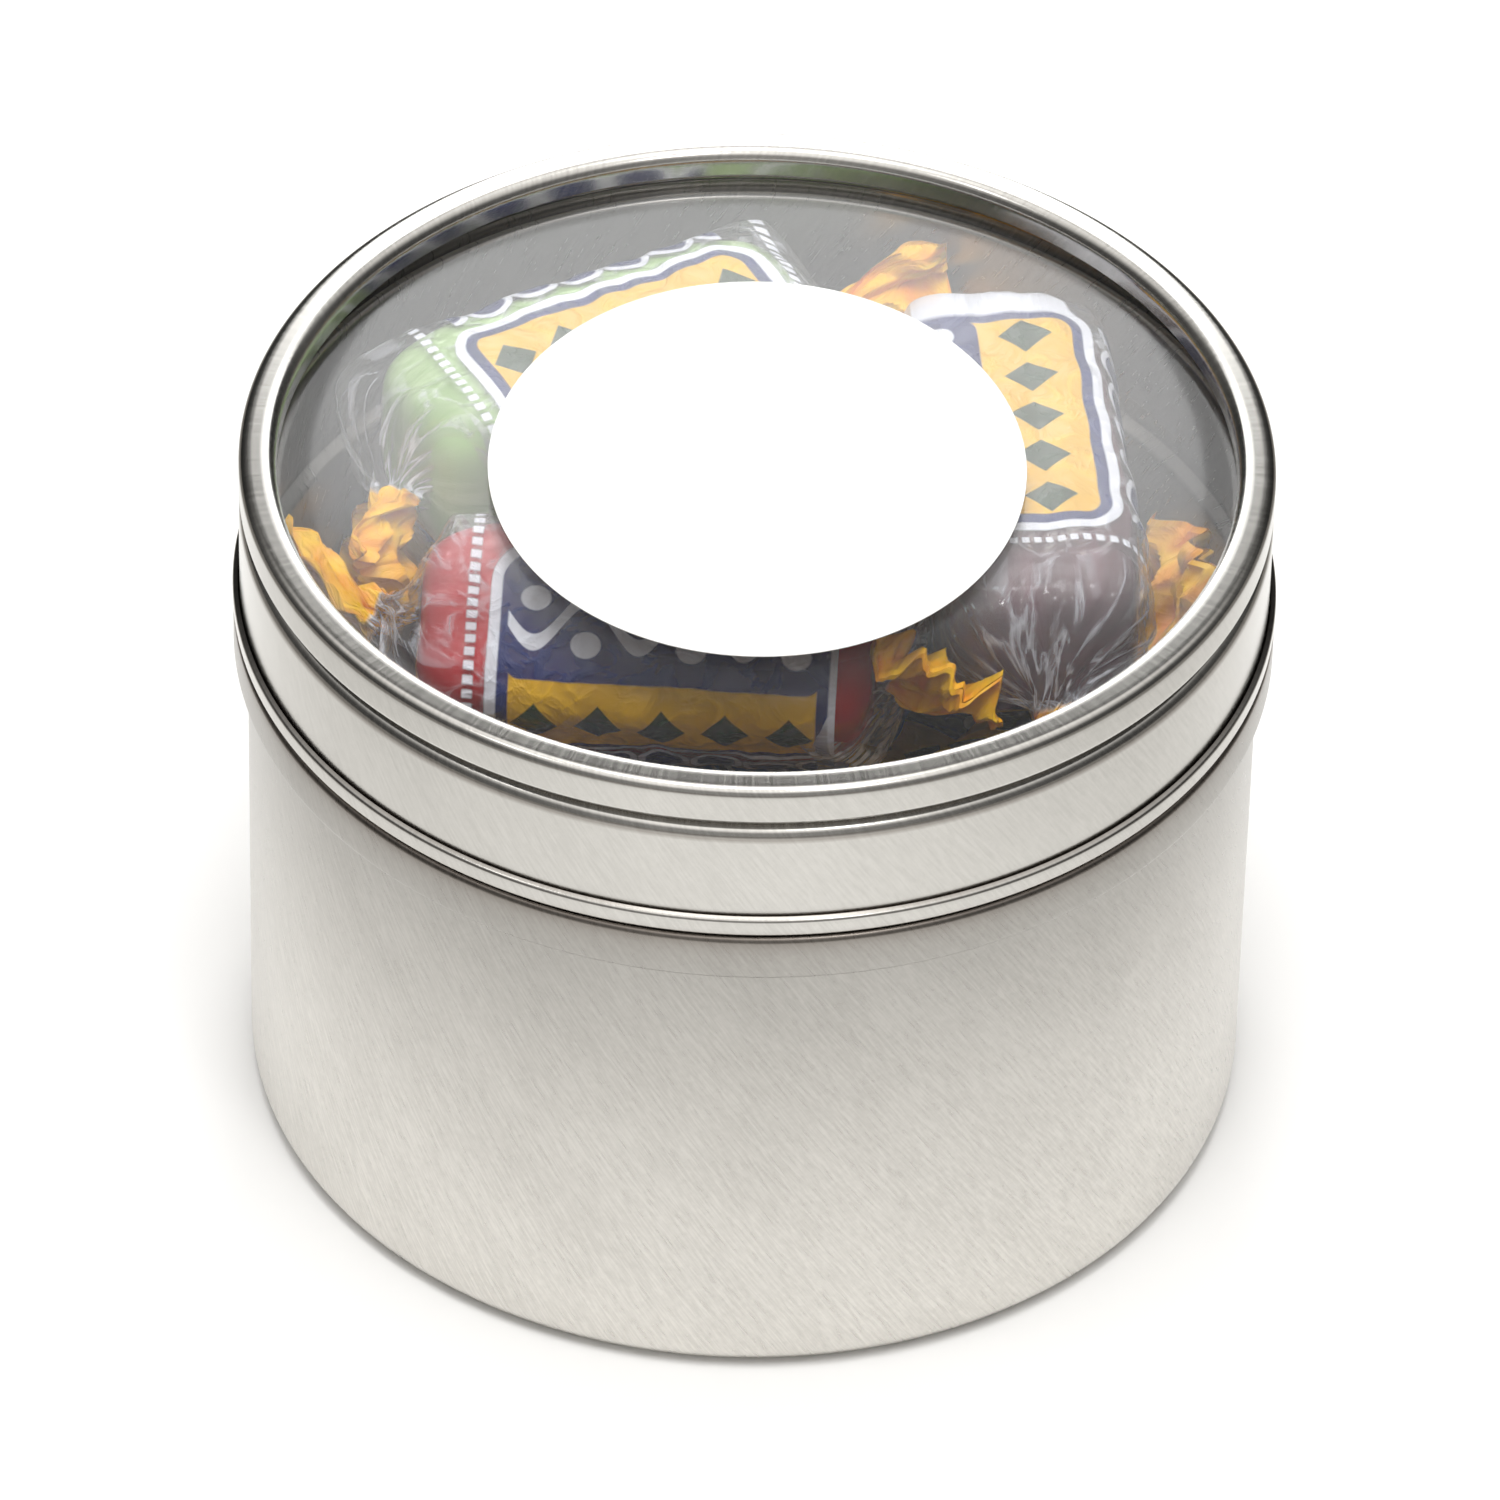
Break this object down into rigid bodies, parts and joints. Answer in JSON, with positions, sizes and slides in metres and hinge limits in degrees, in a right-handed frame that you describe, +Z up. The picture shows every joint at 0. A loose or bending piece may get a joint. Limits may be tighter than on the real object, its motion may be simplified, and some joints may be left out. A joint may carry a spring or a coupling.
{
  "type": "window lid tin",
  "caption": "Round slip-lid tin with a clear window in its rolled lid and a blank label, filled with wrapped boiled sweets.",
  "frame": {"origin": "centre of the base, on the surface that the tin stands on", "axes": "+Z up along the can's axis, the way the lid lifts; -Y is the front, the side that faces the camera"},
  "size_m": [0.066, 0.066, 0.049],
  "materials": {
    "can_tinplate": "satin tinplate with faint slanting polish marks",
    "lid_tinplate": "satin tinplate, brighter on the rolled bead",
    "clear_window": "clear film sheet with light scuffs",
    "label_paper": "plain white matt paper",
    "red_sugar": "glossy boiled sugar",
    "green_sugar": "glossy boiled sugar",
    "purple_sugar": "glossy boiled sugar",
    "blue_sugar": "glossy boiled sugar",
    "printed_film": "thin clear film printed in yellow and navy, crumpled"
  },
  "bodies": {
    "can": {"tin_body": "can_tinplate", "bottom_blue_sweet": "blue_sugar", "bottom_blue_wrapper": "printed_film", "bottom_green_sweet": "green_sugar", "bottom_green_wrapper": "printed_film", "bottom_red_sweet": "red_sugar", "bottom_red_wrapper": "printed_film", "middle_purple_sweet": "purple_sugar", "middle_purple_wrapper": "printed_film", "middle_red_sweet": "red_sugar", "middle_red_wrapper": "printed_film", "middle_blue_sweet": "blue_sugar", "middle_blue_wrapper": "printed_film", "top_green_sweet": "green_sugar", "top_green_wrapper": "printed_film", "top_red_sweet": "red_sugar", "top_red_wrapper": "printed_film", "top_purple_sweet": "purple_sugar", "top_purple_wrapper": "printed_film"},
    "lid": {"lid_ring": "lid_tinplate", "window_disc": "clear_window", "window_label": "label_paper"}
  },
  "joints": [
    {"name": "lid_lift", "type": "slide", "parent": "can", "child": "lid", "axis": [0, 0, 1], "range_m": [0, 0.06]}
  ]
}
